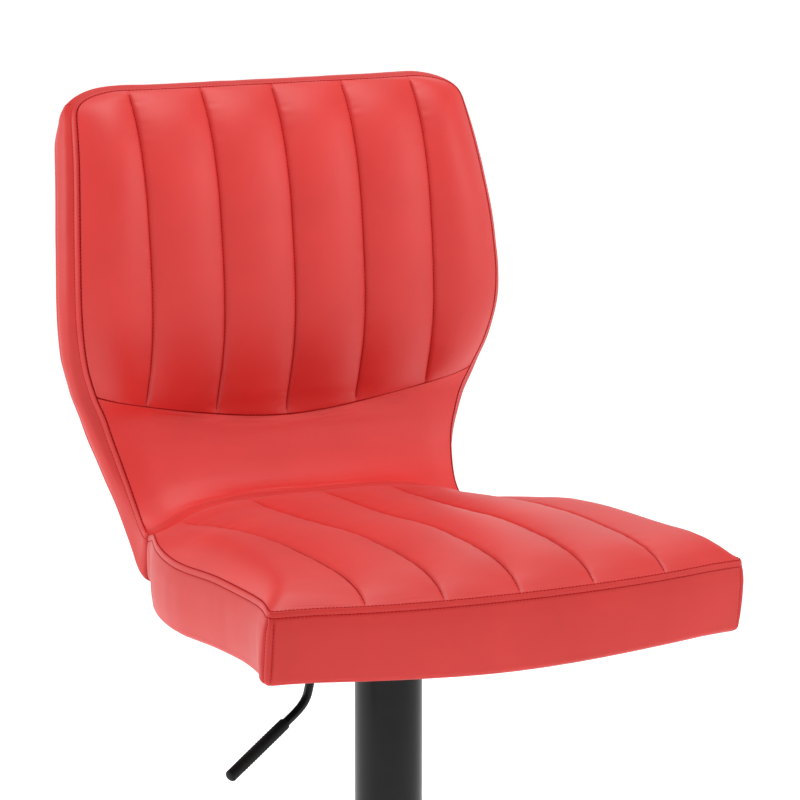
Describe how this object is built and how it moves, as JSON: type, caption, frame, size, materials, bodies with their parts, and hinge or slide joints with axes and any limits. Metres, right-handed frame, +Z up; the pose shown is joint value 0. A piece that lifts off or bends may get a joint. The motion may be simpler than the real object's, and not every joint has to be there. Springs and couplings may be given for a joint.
{
  "type": "swivel bar stool",
  "caption": "Height-adjustable swivel stool with a channelled padded seat and back, a gas lift column worked by a side lever, a footrest and a round base.",
  "frame": {"origin": "On the floor, on the column's axis, with the seat at its lowest.", "axes": "+Z up. The sitter faces -Y. The lever leaves the column towards -X."},
  "size_m": [0.442, 0.5165, 0.966],
  "materials": {
    "red_leather": "satin",
    "red_padding": "satin",
    "black_lining": "matte",
    "plywood": "satin",
    "black_metal": "satin",
    "bare_steel": "satin",
    "iron": "matte",
    "black_plastic": "satin",
    "black_rubber": "matte"
  },
  "bodies": {
    "base": {"floor_pad": "black_rubber", "base_plate": "black_metal", "base_weight": "iron", "base_socket": "bare_steel", "base_bolt_1": "bare_steel", "base_bolt_2": "bare_steel", "base_bolt_3": "bare_steel", "base_bolt_4": "bare_steel", "base_trim_ring": "black_plastic", "stand_tube": "black_metal", "tube_end_plate": "bare_steel", "guide_bush": "black_plastic", "lower_bearing_race": "bare_steel", "footrest_collar": "black_metal", "footrest_bar": "black_metal", "footrest_screw_left": "bare_steel", "footrest_screw_right": "bare_steel"},
    "bearing": {"bearing_cage": "bare_steel"},
    "rod": {"upper_bearing_race": "bare_steel", "bump_stop": "black_rubber", "piston_rod": "bare_steel", "rod_washer": "bare_steel", "rod_clip": "bare_steel", "piston": "black_plastic"},
    "seat": {"gas_cylinder": "black_metal", "rod_guide": "black_plastic", "valve_body": "black_plastic", "sleeve_tube": "black_metal", "sleeve_cap": "black_plastic", "sleeve_end_bush": "black_plastic", "seat_plate": "black_metal", "taper_socket": "bare_steel", "lever_pivot_pin": "bare_steel", "plate_bolt_1": "bare_steel", "plate_bolt_2": "bare_steel", "plate_bolt_3": "bare_steel", "plate_bolt_4": "bare_steel", "plate_washer_1": "bare_steel", "plate_washer_2": "bare_steel", "plate_washer_3": "bare_steel", "plate_washer_4": "bare_steel", "tee_nut_1": "bare_steel", "tee_nut_2": "bare_steel", "tee_nut_3": "bare_steel", "tee_nut_4": "bare_steel", "seat_shell": "plywood", "seat_lining": "black_lining", "seat_cushion": "red_padding", "back_lower_pad": "red_padding", "back_channel_pad": "red_padding", "seat_band": "red_leather", "back_band": "red_leather", "back_rear_cover": "red_leather"},
    "lever": {"lever_rod": "black_metal", "lever_grip": "black_rubber"},
    "pin": {"release_pin": "bare_steel"}
  },
  "joints": [
    {"name": "swivel", "type": "hinge", "parent": "base", "child": "rod", "pos_m": [0, 0, 0.035], "axis": [0, 0, 1], "continuous": true},
    {"name": "bearing_turn", "type": "hinge", "parent": "base", "child": "bearing", "pos_m": [0, 0, 0.035], "axis": [0, 0, 1], "continuous": true},
    {"name": "height_adjust", "type": "slide", "parent": "rod", "child": "seat", "axis": [0, 0, 1], "range_m": [0, 0.21]},
    {"name": "lever_lift", "type": "hinge", "parent": "seat", "child": "lever", "pos_m": [-0.02295, -0.00702, 0.512], "axis": [-0.2924, 0.9563, 0], "range_deg": [0, 8], "stiffness_Nm_per_rad": 1.5, "springref_deg": -5.73},
    {"name": "release_press", "type": "slide", "parent": "seat", "child": "pin", "axis": [0, 0, -1], "range_m": [0, 0.0036]}
  ],
  "couplings": [
    {"joint": "bearing_turn", "follows": "swivel", "ratio": 0.5},
    {"joint": "release_press", "follows": "lever_lift", "m_per_rad": 0.024}
  ]
}
